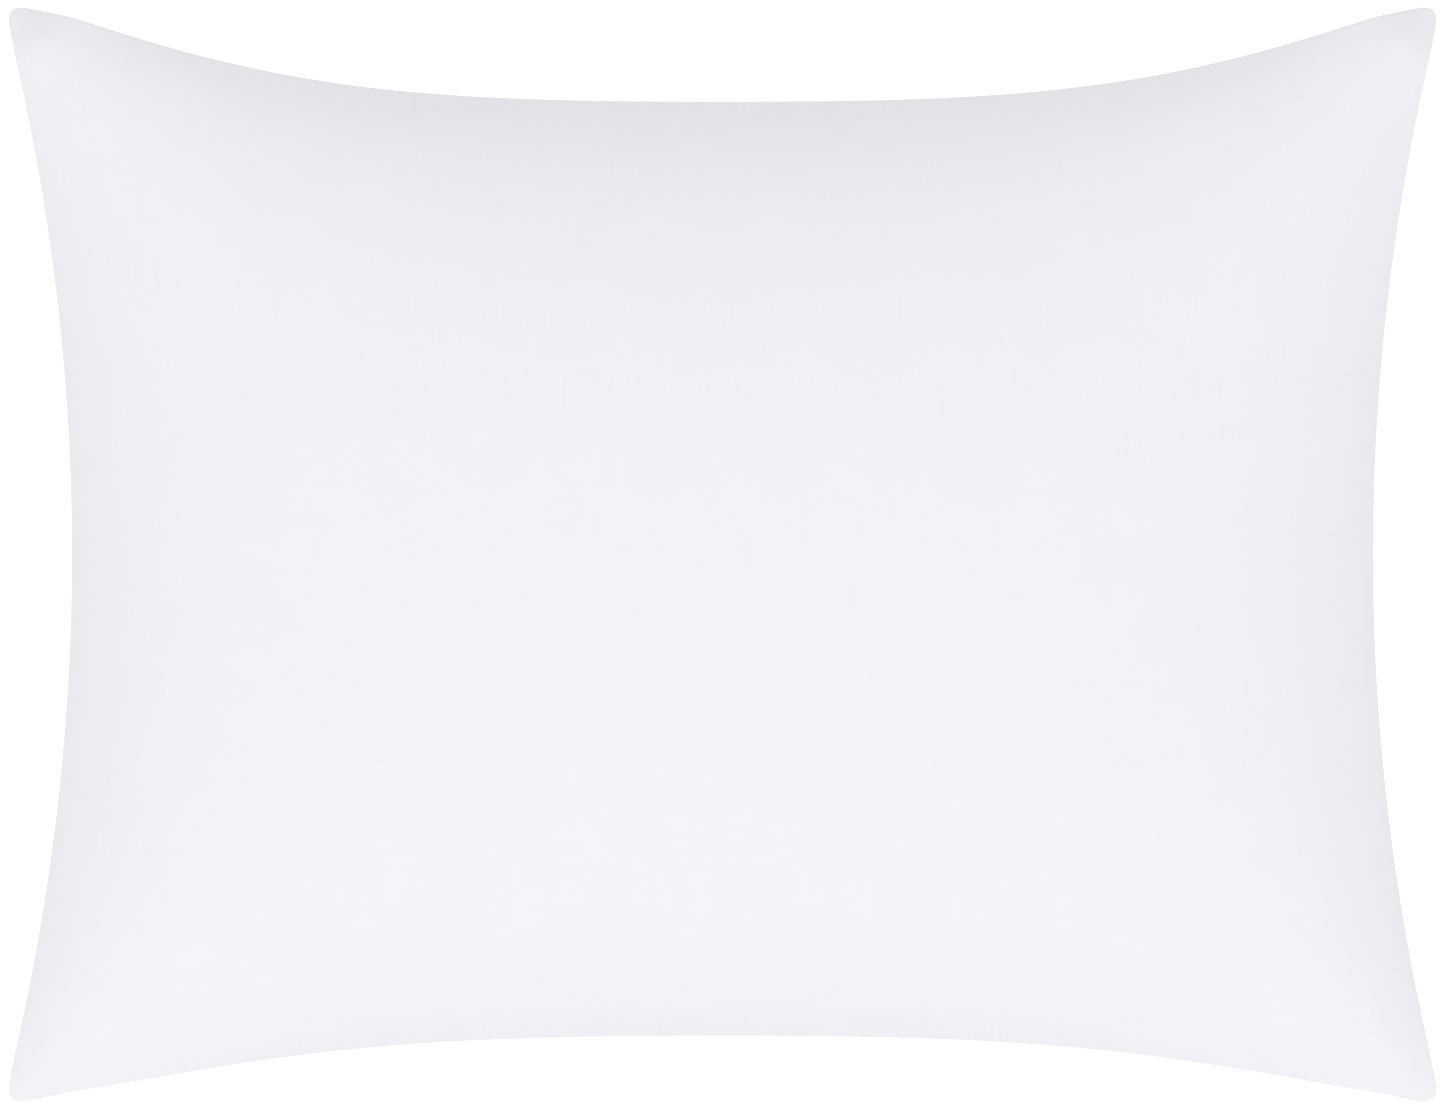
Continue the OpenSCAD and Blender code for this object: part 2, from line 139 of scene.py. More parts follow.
# %% [markdown]
# ## A flat blank and where its points start
# A grid stands for the cloth. Each point has a place on the flat cut, which the UV map takes
# later so that the weave keeps its scale, and a place in the air, where the simulation
# starts. That start is the filled form, worked out here from the outline, the CAD's height
# and a crown profile. Cells are narrower towards the edge, where the cloth curves most.

# %% Grid helpers
cut_half = (0.330, 0.254)
crowding = 0.2
# over lip_width a panel turns up from the seam, whose layers are two half stacks high
lip_width = 0.006
half_stack = 0.00185
# the back panel lies flat where its crown would pass this share
contact_share = 0.74
floor_gap = 0.001
# the back panel draws back from the zip over this last stretch
mouth_run = 0.1
# the tips hang where the product of both shares passes tip_from, and only near the rim
tip_from, tip_span = 0.86, 0.14
rim_from, rim_span = 0.5, 0.4


def take(piece):
    """Makes a piece the only selected and the active one."""
    bpy.ops.object.select_all(action="DESELECT")
    piece.select_set(True)
    bpy.context.view_layer.objects.active = piece


def grid_shares(columns, rows):
    """Shares of the half length and half width for each point of a grid, finer at the edge."""
    u, v = np.meshgrid(np.linspace(-1, 1, columns + 1), np.linspace(-1, 1, rows + 1))
    u, v = u.ravel(), v.ravel()
    return u * (1 + crowding - crowding * u ** 2), v * (1 + crowding - crowding * v ** 2)


def plan(u, v):
    """The x and y of a point of the cover, seen from above, with its corner tips rounded."""
    x, y = u * short_edge_x(v * corner_y), v * long_edge_y(u * corner_x)
    centre = np.array([front_high.x - tip_radius, front_high.y - tip_radius])
    away = np.stack([np.abs(x), np.abs(y)], axis=1) - centre
    length = np.linalg.norm(away, axis=1)
    out = (away > 0).all(axis=1) & (length > tip_radius)
    tip = centre + away * (tip_radius / np.maximum(length, 1e-9))[:, None]
    x, y = np.where(out, np.sign(x) * tip[:, 0], x), np.where(out, np.sign(y) * tip[:, 1], y)
    return x, y - sway(x)


def seam_level(u, v, x, y):
    """Height of the seam, which hangs down at the corner tips."""
    corner = ease((np.abs(x * y) / (corner_x * corner_y) - tip_from) / tip_span)
    outer = ease((np.maximum(np.abs(u), np.abs(v)) - rim_from) / rim_span)
    return seam_height - droop * corner * outer


def cover_start(u, v, up):
    """Start points of the front panel (up is 1) or the back panel (up is -1)."""
    x, y = plan(u, v)
    level = seam_level(u, v, x, y)
    edge = np.minimum((1 - np.abs(u)) * waist_x, (1 - np.abs(v)) * waist_y)
    crown = raised(u) * raised(v) * edge / (edge + lip_width)
    if up > 0:
        z = level + half_stack + (front_high.z - seam_height - half_stack) * crown
    else:
        left = (1 - np.minimum(crown / contact_share, 1)) ** 2
        z = (level - half_stack) * left + floor_gap * (1 - left)
        open_share = ease((mouth_half + mouth_fade - np.abs(y)) / mouth_fade) * (x > 0)
        back = mouth_inset * open_share * ease(1 - (1 - u) * waist_x / mouth_run)
        length = np.hypot(arc_centre - x, y)
        x, y = x - back * (arc_centre - x) / length, y + back * y / length
    return np.stack([x, y, z], axis=1)


columns, rows = 100, 76
share_u, share_v = grid_shares(columns, rows)
per_side = len(share_u)
cut = np.stack([share_u * cut_half[0], share_v * cut_half[1]], axis=1)
print("grid of", columns, "by", rows, "cells, flat cut",
      round(2 * cut_half[0], 3), "by", round(2 * cut_half[1], 3), "m")

# %% [markdown]
# ## The cover as a pouch
# Two grids lie face to face and a narrow strip bridges their edges. That closed pouch can
# be blown up by pressure. A swollen box would close as well, but two grids keep their cells
# in line with the threads, so the finished panels need no new mesh.

# %% Pouch


def pouch(name, columns, rows, points):
    """Two grids joined along their edges, at these points, front first."""
    bpy.ops.object.select_all(action="DESELECT")
    bpy.ops.mesh.primitive_grid_add(x_subdivisions=columns, y_subdivisions=rows, size=2)
    piece = bpy.context.object
    piece.name = name
    bpy.ops.object.mode_set(mode="EDIT")
    bpy.ops.mesh.select_all(action="SELECT")
    bpy.ops.mesh.duplicate()
    bpy.ops.mesh.flip_normals()
    bpy.ops.mesh.select_all(action="DESELECT")
    bpy.ops.mesh.select_mode(type="EDGE")
    bpy.ops.mesh.select_non_manifold(
        extend=False, use_wire=False, use_boundary=True, use_multi_face=False,
        use_non_contiguous=False, use_verts=False)
    bpy.ops.object.mode_set(mode="OBJECT")
    piece.data.vertices.foreach_set("co", points.ravel())
    bpy.ops.object.mode_set(mode="EDIT")
    bpy.ops.mesh.bridge_edge_loops()
    bpy.ops.mesh.select_all(action="SELECT")
    bpy.ops.mesh.normals_make_consistent(inside=False)
    bpy.ops.object.mode_set(mode="OBJECT")
    piece.data.update()
    return piece


start = np.vstack([cover_start(share_u, share_v, 1), cover_start(share_u, share_v, -1)])
blank = pouch("cover_blank", columns, rows, start)
print("pouch", len(blank.data.vertices), "points", len(blank.data.polygons), "faces")

# %% [markdown]
# ## Filling the pouch
# The seam is pinned where the CAD says that it runs, pressure stands for the fibre, and a
# flat collider is the surface that the pillow lies on. Blender's cloth takes the shape that
# it starts from as its own size, so the points only swell by a millimetre or two, and the
# height of the crown is the one it was given. It isn't a result: a start 60 mm lower stays
# about that low, and a flat cut given as a rest shape key changes nothing when run in this
# way.

# %% Cloth simulation
steps = 16
largest_move = 0.030
table_size = 3


def fill_with_pressure(piece, rim):
    """Swells a pouch by pressure from the shape that it has, with its rim pinned."""
    take(piece)
    pins = piece.vertex_groups.new(name="seam")
    pins.add([int(i) for i in rim], 1.0, "REPLACE")
    bpy.ops.mesh.primitive_plane_add(size=table_size, location=(0, 0, -floor_gap))
    table = bpy.context.object
    table.modifiers.new("Collision", "COLLISION")
    table.collision.thickness_outer = floor_gap
    table.collision.cloth_friction = 5
    take(piece)
    cloth = piece.modifiers.new("Cloth", "CLOTH")
    cloth.settings.quality = 7
    cloth.settings.mass = 0.3
    cloth.settings.tension_stiffness = 15
    cloth.settings.compression_stiffness = 15
    cloth.settings.shear_stiffness = 5
    cloth.settings.bending_stiffness = 0.5
    cloth.settings.air_damping = 5
    cloth.settings.use_pressure = True
    cloth.settings.uniform_pressure_force = 4
    cloth.settings.vertex_group_mass = "seam"
    cloth.settings.effector_weights.gravity = 0
    cloth.collision_settings.distance_min = floor_gap
    scene = bpy.context.scene
    scene.frame_start, scene.frame_end = 1, steps
    cloth.point_cache.frame_end = steps
    for step in range(1, steps + 1):
        scene.frame_set(step)
    moved = piece.evaluated_get(bpy.context.evaluated_depsgraph_get())
    filled = mesh_points(moved.to_mesh())
    moved.to_mesh_clear()
    scene.frame_set(1)
    piece.modifiers.remove(cloth)
    bpy.data.objects.remove(table)
    return filled


filled = start
on_rim = np.maximum(np.abs(share_u), np.abs(share_v)) > 0.9999
rim = np.flatnonzero(np.concatenate([on_rim, on_rim]))
filled = fill_with_pressure(blank, rim)
move = filled - start
length = np.linalg.norm(move, axis=1, keepdims=True)
filled = start + move * np.minimum(1, largest_move / np.maximum(length, 1e-9))
print("largest move", round(float(length.max()), 4))
front_grid, back_grid = filled[:per_side], filled[per_side:]
print("crown at", round(float(front_grid[:, 2].max()), 4))
bpy.data.objects.remove(blank)

# %% [markdown]
# ## Sewn panels
# Each panel of the cover and of the liner is one sheet. Its edge folds under, and the seam
# allowance lies flat against the allowance of the other panel. The fold is four narrow rows
# of faces extruded from the grid's edge, then Solidify gives the cloth its thickness and one
# level of subdivision rounds the fold. The UV map is the flat cut in metres, so that the
# weave follows the cloth.

# %% Panel maker
fold_step = 0.001
woven_share = 0.9


def write_uv(piece, flat):
    """Writes each point's place on the flat cut, in metres, into the UV map."""
    corner_points = np.empty(len(piece.data.loops), int)
    piece.data.loops.foreach_get("vertex_index", corner_points)
    layer = piece.data.uv_layers.active or piece.data.uv_layers.new(name="UVMap")
    layer.data.foreach_set("uv", flat[corner_points].ravel())


def finish_mesh(piece, *modifiers):
    """Adds modifiers, each (type, values), applies them and shades the piece smooth."""
    take(piece)
    for kind, values in modifiers:
        modifier = piece.modifiers.new(kind.title(), kind)
        for key, value in values.items():
            setattr(modifier, key, value)
        bpy.ops.object.modifier_apply(modifier=modifier.name)
    bpy.ops.object.shade_smooth()


def sewn_panel(name, size, points, flat, up, allowance, cloth, uv_offset):
    """One panel with its edge folded under. up is 1 for a front panel, -1 for a back one."""
    bpy.ops.object.select_all(action="DESELECT")
    bpy.ops.mesh.primitive_grid_add(x_subdivisions=size[0], y_subdivisions=size[1], size=2)
    piece = bpy.context.object
    piece.name = piece.data.name = name
    piece.data.vertices.foreach_set("co", points.ravel())
    bpy.ops.object.mode_set(mode="EDIT")
    if up < 0:
        bpy.ops.mesh.flip_normals()
    bpy.ops.mesh.select_all(action="DESELECT")
    bpy.ops.mesh.select_mode(type="EDGE")
    bpy.ops.mesh.select_non_manifold(
        extend=False, use_wire=False, use_boundary=True, use_multi_face=False,
        use_non_contiguous=False, use_verts=False)
    bpy.ops.object.mode_set(mode="OBJECT")
    # each row of the fold: how far inside the edge, and its share of the seam's half height
    folds = [(0, 0.70), (0, 0.25), (0.0008, 0.08), (allowance, 0.08)]
    stack = 2 * cloth + seam_gap / 2
    source = np.array([vertex.index for vertex in piece.data.vertices if vertex.select])
    rim, rim_flat = points[source], flat[source]
    size_of = np.linalg.norm(rim[:, :2], axis=1, keepdims=True)
    flat_size = np.linalg.norm(rim_flat, axis=1, keepdims=True)
    flats, run = [flat], 0
    for inset, height in folds:
        bpy.ops.object.mode_set(mode="EDIT")
        bpy.ops.mesh.extrude_edges_move()
        bpy.ops.object.mode_set(mode="OBJECT")
        new = np.array([vertex.index for vertex in piece.data.vertices if vertex.select])
        here = mesh_points(piece.data)
        # a new point is paired with the rim point that it was extruded from
        order = pair_up(here[new], here[source])
        moved = rim[order].copy()
        moved[:, :2] *= 1 - inset / size_of[order]
        moved[:, 2] -= up * (1 - height) * stack
        here[new] = moved
        piece.data.vertices.foreach_set("co", here.ravel())
        run += fold_step if inset < allowance else allowance
        flats.append(rim_flat[order] * (1 + run / flat_size[order]))
        source, rim, rim_flat = new, rim[order], rim_flat[order]
        size_of, flat_size = size_of[order], flat_size[order]
    write_uv(piece, np.vstack(flats) + uv_offset)
    finish_mesh(
        piece,
        ("SOLIDIFY", {"thickness": woven_share * cloth, "offset": -1}),
        ("SUBSURF", {"levels": 1, "render_levels": 1, "boundary_smooth": "PRESERVE_CORNERS"}))
    return piece


def pair_up(places, sources):
    """For each place, the index of the source that lies on it."""
    order = {tuple(np.round(p, 7)): i for i, p in enumerate(sources)}
    return np.array([order[tuple(np.round(p, 7))] for p in places])


cover_cloth, seam_allowance = 0.0008, 0.009
cover_front = sewn_panel("pillow_cover_front", (columns, rows), front_grid, cut, 1,
                         seam_allowance, cover_cloth, (0, 0))
cover_back = sewn_panel("pillow_cover_back", (columns, rows), back_grid, cut, -1,
                        seam_allowance, cover_cloth, (1, 0))
for piece in (cover_front, cover_back):
    print(piece.name, len(piece.data.polygons), "faces")

# %% [markdown]
# ## The inner pillow
# Inside the cover lies a pillow of its own: two panels of thin liner cloth, sewn all round,
# around loose fibre. Its outline is the cover's, made smaller as the CAD has it. Its crown
# is found by looking up and down from each point to the filled cover, so that it supports
# the cover everywhere but never touches it, and it closes to its own seam at its edge.

# %% Liner and fibre shapes
layer_gap = 0.0015
liner_shoulder = 0.075
least_rise = 0.3
insert_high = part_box("insert_front")[1]
insert_scale = (insert_high.x / front_high.x, insert_high.y / front_high.y)
row_starts = [row * (columns + 1) for row in range(rows)]
grid_faces = [(a, a + 1, a + columns + 2, a + columns + 1)
              for first in row_starts for a in range(first, first + columns)]
skins = {1: BVHTree.FromPolygons(front_grid.tolist(), grid_faces),
         -1: BVHTree.FromPolygons(back_grid.tolist(), grid_faces)}


def inner_skin(u, v, up, scale, depth, stack):
    """A panel that lies depth inside the filled cover and closes at its own edge."""
    x, y = plan(u, v)
    level = seam_level(u, v, x, y)
    x, y = x * scale[0], y * scale[1]
    edge = np.minimum((1 - np.abs(u)) * waist_x, (1 - np.abs(v)) * waist_y)
    crown = raised(1 - np.minimum(edge / liner_shoulder, 1)) * edge / (edge + lip_width)
    z = np.empty(len(x))
    for i, (px, py) in enumerate(zip(x, y)):
        hit, normal = skins[up].ray_cast(Vector((px, py, up)), Vector((0, 0, -up)))[:2]
        z[i] = hit.z - up * depth / max(abs(normal.z), least_rise)
    rim = level + up * stack
    z = rim + (z - rim) * crown
    return np.stack([x, y, z], axis=1)


liner_cloth, liner_allowance = 0.0005, 0.008
liner_size = (60, 46)
liner_u, liner_v = grid_shares(*liner_size)
liner_half = (cut_half[0] * insert_scale[0], cut_half[1] * insert_scale[1])
liner_flat = np.stack([liner_u * liner_half[0], liner_v * liner_half[1]], axis=1)
liner_depth = cover_cloth + layer_gap
liner_stack = 2 * liner_cloth + seam_gap / 2
liners = []
for up, side in ((1, "front"), (-1, "back")):
    skin = inner_skin(liner_u, liner_v, up, insert_scale, liner_depth, liner_stack)
    liners.append(sewn_panel("inner_pillow_liner_" + side, liner_size, skin, liner_flat, up,
                             liner_allowance, liner_cloth, (0, up)))
print("liner", [len(piece.data.polygons) for piece in liners], "faces")

# %% [markdown]
# ## Loose fibre
# Fibre clumps into soft lumps the size of a thumb. Single fibres would need far too many
# faces, so the fill is a closed pouch just inside the liner, and smooth noise pushes its
# surface in by up to 3 mm between the clumps.

# %% Fibre fill
lump_depth, clump_scale, tuft_scale, calm_edge = 0.003, 38, 90, 0.1
fill_scale = (insert_scale[0] - 0.030, insert_scale[1] - 0.040)
fill_depth = liner_depth + liner_cloth + layer_gap
fill_size = (72, 56)
fill_u, fill_v = grid_shares(*fill_size)
fill_points = np.vstack([inner_skin(fill_u, fill_v, up, fill_scale, fill_depth, liner_cloth)
                         for up in (1, -1)])
ridge = np.array([noise.noise(Vector(p) * clump_scale) * 0.6
                  + noise.noise(Vector(p) * tuft_scale) * 0.4 for p in fill_points])
fill_edge = np.tile(np.minimum(1 - np.abs(fill_u), 1 - np.abs(fill_v)), 2)
lump = lump_depth * np.clip(0.5 + ridge, 0, 1) * ease(fill_edge / calm_edge)
sides = np.repeat([1, -1], len(fill_u))
fill_points[:, 2] -= sides * lump
fibre = pouch("inner_pillow_fibre", *fill_size, fill_points)
write_uv(fibre, fill_points[:, :2])
finish_mesh(fibre, ("SUBSURF", {"levels": 1, "render_levels": 1}))
print("fibre", len(fibre.data.polygons), "faces")

# %% [markdown]
# ## Where the zip runs
# Every zip piece sits on the arc of the short edge. A piece is modelled at the origin with
# x pointing to the middle of the pillow, y along the zip and z up, and is then carried to
# its place. The radius and the two ends of each row come from the CAD nodes.

# %% Places on the arc
chain_radius = math.hypot(arc_centre - hinge.x, hinge.y)
print("zip on a radius of", round(chain_radius, 4))


def arc_reach(node):
    """Smallest and largest radius, turn and height of a CAD node, seen from the arc centre."""
    spots = mesh_points(frame["nodes"][node].data)
    radius = np.hypot(arc_centre - spots[:, 0], spots[:, 1])
    turn = np.arctan2(spots[:, 1], arc_centre - spots[:, 0])
    rows = (radius, turn, spots[:, 2])
    return [(float(row.min()), float(row.max())) for row in rows]


def place_at(turn):
    """The matrix that carries a piece from the origin to its place on the arc."""
    return (Matrix.Translation((arc_centre, 0, seam_height))
            @ Matrix.Rotation(math.pi - turn, 4, "Z") @ Matrix.Translation((chain_radius, 0, 0)))


def repeat(name, piece, turns):
    """Copies a modelled piece to each turn, each copy with its own mesh, and joins them."""
    copies = []
    for turn in turns:
        copy = piece.copy()
        copy.data = piece.data.copy()
        bpy.context.scene.collection.objects.link(copy)
        copy.matrix_world = place_at(turn)
        copies.append(copy)
    bpy.data.objects.remove(piece)
    bpy.ops.object.select_all(action="DESELECT")
    for copy in copies:
        copy.select_set(True)
    bpy.context.view_layer.objects.active = copies[0]
    bpy.ops.object.join()
    bpy.ops.object.transform_apply(location=True, rotation=True, scale=True)
    joined = bpy.context.object
    joined.name = joined.data.name = name
    bpy.ops.object.shade_smooth()
    return joined


# %% [markdown]
# ## Zip tapes
# Each tape is a woven ribbon, stiffer than the cover cloth. One edge is sewn to a panel's
# allowance, and the other carries a coil row. Past the stops the two tails lean together
# and run on under the closed seam, so that the mouth of the zip closes within a centimetre
# of its stops. A tape could be a curve with a flat bevel, but a straight grid that is bent
# has a UV map in metres along and across it.

# %% Tapes
tape_cloth = 0.00045
tape_cells = (280, 8)
selvedge_round = 0.00015
tail_extra = 0.022
lean_run, lean_start, tail_gap = 0.008, 0.3, 0.0001
coil_end = arc_reach("zip_coil_front")[1][1]


def tape(name, node):
    """One ribbon on the arc, and its width and length."""
    (inner, outer), (first, last), (low, high) = arc_reach(node)
    first, last = first - tail_extra / chain_radius, last + tail_extra / chain_radius
    bpy.ops.object.select_all(action="DESELECT")
    bpy.ops.mesh.primitive_grid_add(x_subdivisions=tape_cells[0],
                                    y_subdivisions=tape_cells[1], size=2)
    piece = bpy.context.object
    piece.name = piece.data.name = name
    spots = mesh_points(piece.data)
    along = (spots[:, 0] + 1) / 2 * (last - first) + first
    across = (spots[:, 1] + 1) / 2 * (outer - inner)
    radius = inner + across
    lean = ease((np.abs(along) - coil_end) * chain_radius / lean_run - lean_start)
    slit_side = inner if inner > chain_radius else outer
    share = 1 - np.abs(radius - slit_side) / (outer - inner)
    radius = radius + lean * share * (chain_radius + tail_gap * np.sign(inner - chain_radius)
                                      - slit_side)
    bent = np.stack([arc_centre - radius * np.cos(along), radius * np.sin(along),
                     np.full(len(along), (low + high) / 2)], axis=1)
    piece.data.vertices.foreach_set("co", bent.ravel())
    write_uv(piece, np.stack([along * chain_radius, across], axis=1))
    bpy.ops.object.mode_set(mode="EDIT")
    bpy.ops.mesh.select_all(action="SELECT")
    bpy.ops.mesh.normals_make_consistent(inside=False)
    bpy.ops.object.mode_set(mode="OBJECT")
    finish_mesh(piece, ("SOLIDIFY", {"thickness": tape_cloth, "offset": 0}),
                ("BEVEL", {"width": selvedge_round, "segments": 2, "limit_method": "ANGLE"}))
    return piece, (outer - inner, (last - first) * chain_radius)


tapes = [tape("zip_ribbon_" + side, "zip_tape_" + side) for side in ("front", "back")]
print("tapes", [tuple(round(x, 4) for x in size) for _, size in tapes])

# %% [markdown]
# ## Coil rows
# The teeth of this zip are two coils of stiff nylon thread, one along each tape. One turn
# of the thread is modelled as a ring, flattened and leaned over by nearly half a pitch, and
# copied along the row. One long spiral would be truer, but rings look the same between the
# tapes and need few faces. The slider's thin post has to pass, so a slit stays between the
# rows.

# %% Coils
coil_pitch = 0.0015
wire_radius = 0.00034
slit_left = 0.00026
ring_radius = 0.001
ring_lean = 0.45
first_margin, last_margin = 0.6, 0.5


def coil_row(name, node, shift):
    """A row of turns in a CAD bar's place, shifted along by a share of the pitch."""
    (inner, outer), (first, last), (low, high) = arc_reach(node)
    inner, outer = inner - chain_radius, outer - chain_radius
    if inner > 0:
        inner = slit_left
    else:
        outer = -slit_left
    bpy.ops.object.select_all(action="DESELECT")
    bpy.ops.mesh.primitive_torus_add(major_segments=10, minor_segments=5,
                                     major_radius=ring_radius, minor_radius=wire_radius)
    turn = bpy.context.object
    bpy.ops.object.mode_set(mode="EDIT")
    bpy.ops.mesh.select_all(action="SELECT")
    bpy.ops.transform.rotate(value=math.pi / 2, orient_axis="X", center_override=(0, 0, 0))
    bpy.ops.object.mode_set(mode="OBJECT")
    spots = mesh_points(turn.data)
    wide, tall = outer - inner, high - low
    grow = np.array([(wide / 2 - wire_radius) / ring_radius, 1,
                     (tall / 2 - wire_radius) / ring_radius])
    ring = spots / np.maximum(np.linalg.norm(spots[:, [0, 2]], axis=1, keepdims=True), 1e-9)
    spots = spots + ring * [1, 0, 1] * ring_radius * (grow - 1)
    spots[:, 1] += spots[:, 2] / tall * coil_pitch * ring_lean
    spots[:, 0] += (inner + outer) / 2
    turn.data.vertices.foreach_set("co", spots.ravel())
    bpy.ops.object.mode_set(mode="EDIT")
    bpy.ops.mesh.normals_make_consistent(inside=False)
    bpy.ops.object.mode_set(mode="OBJECT")
    step = coil_pitch / chain_radius
    turns = np.arange(first + step * (first_margin + shift), last - step * last_margin, step)
    return repeat(name, turn, turns)


coils = [coil_row("zip_coil_turns_front", "zip_coil_front", 0),
         coil_row("zip_coil_turns_back", "zip_coil_back", 0.5)]
print("coils", [len(piece.data.polygons) for piece in coils], "faces")

# %% [markdown]
# ## Stitches along the tapes
# A lockstitch shows as a row of short, plump bars of thread, each pulled into the cloth at
# its ends. One bar is a small sphere drawn out along the zip, so that it tapers as the
# thread does at a needle hole, and it is copied at the pitch of the CAD stitches.

# %% Stitches
stitch_length, stitch_pitch = 0.0026, 0.0040
stitch_narrow = 0.45


def stitches(name, node):
    """A row of thread bars in the places of a CAD node's stitches."""
    (inner, outer), (first, last), (low, high) = arc_reach(node)
    bpy.ops.object.select_all(action="DESELECT")
    bpy.ops.mesh.primitive_uv_sphere_add(segments=6, ring_count=5, radius=1)
    bar = bpy.context.object
    spots = mesh_points(bar.data)[:, [0, 2, 1]]
    spots *= [(outer - inner) * stitch_narrow, stitch_length / 2, (high - low) / 2]
    spots[:, 0] += (inner + outer) / 2 - chain_radius
    spots[:, 2] += (low + high) / 2 - seam_height
    bar.data.vertices.foreach_set("co", spots.ravel())
    take(bar)
    bpy.ops.object.mode_set(mode="EDIT")
    bpy.ops.mesh.select_all(action="SELECT")
    bpy.ops.mesh.normals_make_consistent(inside=False)
    bpy.ops.object.mode_set(mode="OBJECT")
    number = round(((last - first) * chain_radius - stitch_length) / stitch_pitch) + 1
    middle = (first + last) / 2
    turns = [middle + (i - (number - 1) / 2) * stitch_pitch / chain_radius
             for i in range(number)]
    return repeat(name, bar, turns)


stitch_rows = [stitches("zip_stitches_" + side, "zip_stitching_" + side)
               for side in ("front", "back")]
print("stitches", [len(piece.data.polygons) for piece in stitch_rows], "faces")

# %% [markdown]
# ## Slider, pull and stops
# The cast slider, the stamped pull and the moulded stops have their true shape in the CAD,
# and they have to fit the coils and each other. So they aren't modelled again: a copy is
# merged, its flat faces are made whole, and its edges are rounded as a cast or tumbled
# part's are.

# %% Rounded copies
merge_below = 0.00002


def rounded_copy(name, node, radius):
    """A copy of a CAD node with its edges rounded by a small radius."""
    bpy.ops.object.select_all(action="DESELECT")
    piece = frame["nodes"][node].copy()
    piece.data = piece.data.copy()
    piece.parent = None
    for key in list(piece.keys()):
        del piece[key]
    bpy.context.scene.collection.objects.link(piece)
    piece.name = piece.data.name = name
    take(piece)
    bpy.ops.object.mode_set(mode="EDIT")
    bpy.ops.mesh.select_all(action="SELECT")
    bpy.ops.mesh.remove_doubles(threshold=merge_below)
    bpy.ops.mesh.dissolve_limited(angle_limit=math.radians(1))
    bpy.ops.object.mode_set(mode="OBJECT")
    finish_mesh(piece, ("BEVEL", {"width": radius, "segments": 3, "limit_method": "ANGLE",
                                  "angle_limit": math.radians(35), "harden_normals": False}))
    bpy.ops.object.shade_smooth_by_angle(angle=math.radians(40))
    return piece


slider = rounded_copy("zip_slider_body", "zip_slider", 0.00022)
pull = rounded_copy("zip_pull_tab", "zip_pull", 0.00018)
top_stops = rounded_copy("zip_stops_closed_end", "zip_top_stops", 0.0003)
bottom_stop = rounded_copy("zip_stop_open_end", "zip_bottom_stop", 0.0003)
print("slider", len(slider.data.polygons), "pull", len(pull.data.polygons), "faces")

# %% [markdown]
# ## Care label
# A blank satin ribbon is caught in the liner's seam. It stands out level and waves a
# little at its free end. It is too small for a simulation to be worth while, so a sine wave
# lifts it.

# %% Label
label_cloth, label_round, wave_height, waves_across = 0.0003, 0.0001, 0.0012, 3.2
label_low, label_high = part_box("care_label")
label_size = (label_high.y - label_low.y, label_high.x - label_low.x)
bpy.ops.object.select_all(action="DESELECT")
bpy.ops.mesh.primitive_grid_add(x_subdivisions=20, y_subdivisions=40, size=2)
label = bpy.context.object
label.name = label.data.name = "care_label_ribbon"
spots = mesh_points(label.data)
ribbon = np.stack([label_low.x + (spots[:, 0] + 1) / 2 * label_size[1],
                   spots[:, 1] * label_size[0] / 2,
                   np.full(len(spots), (label_low.z + label_high.z) / 2)], axis=1)
free = 1 - (spots[:, 0] + 1) / 2
ribbon[:, 2] += wave_height * free ** 1.5 * np.sin(spots[:, 1] * waves_across + 0.6)
label.data.vertices.foreach_set("co", ribbon.ravel())
write_uv(label, ribbon[:, [1, 0]])
finish_mesh(label, ("SOLIDIFY", {"thickness": label_cloth, "offset": 0}),
            ("BEVEL", {"width": label_round, "segments": 1, "limit_method": "ANGLE"}))
print("label", len(label.data.polygons), "faces")

# %% [markdown]
# ## Weave, slubs and mottling
# Every cloth here is a plain weave: threads pass over and under each other in a chequer.
# One node group draws it for all of them. Sines along the two thread directions give the
# bumps. Stretched noise gives slubs, the slightly thicker stretches of a spun thread, along
# both directions. Slow noise gives the faint mottling of washed cloth. The group works in
# metres of the flat cut, and gives a height for the bump and a tone for the colour.

# %% Node helpers


def new_group(name, inputs, outputs):
    """An empty node group with float and vector sockets, and its input and output nodes."""
    group = bpy.data.node_groups.new(name, "ShaderNodeTree")
    for label, kind, value in inputs:
        socket = group.interface.new_socket(label, in_out="INPUT", socket_type=kind)
        if kind == "NodeSocketFloat":
            socket.default_value = value
    for label, kind in outputs:
        group.interface.new_socket(label, in_out="OUTPUT", socket_type=kind)
    return group, group.nodes.new("NodeGroupInput"), group.nodes.new("NodeGroupOutput")


def node(tree, kind, links=(), **values):
    """A node with some of its properties or sockets set. links are (socket, source)."""
    made = tree.nodes.new(kind)
    for key, value in values.items():
        if hasattr(made, key):
            setattr(made, key, value)
        else:
            made.inputs[key.replace("_", " ")].default_value = value
    for socket, source in links:
        tree.links.new(source, made.inputs[socket])
    return made


def maths(tree, operation, a, b=None):
    """A Math node on two values, each a socket or a number."""
    made = tree.nodes.new("ShaderNodeMath")
    made.operation = operation
    for i, value in enumerate((a, b)):
        if isinstance(value, (int, float)):
            made.inputs[i].default_value = value
        elif value is not None:
            tree.links.new(value, made.inputs[i])
    return made.outputs[0]


def stretched_noise(tree, place, scale, detail=2.0, roughness=0.5):
    """Noise that is stretched by different scales along x, y and z."""
    mapping = node(tree, "ShaderNodeMapping", [("Vector", place)])
    mapping.inputs["Scale"].default_value = scale
    return node(tree, "ShaderNodeTexNoise", [("Vector", mapping.outputs[0])],
                Scale=1.0, Detail=detail, Roughness=roughness).outputs["Fac"]


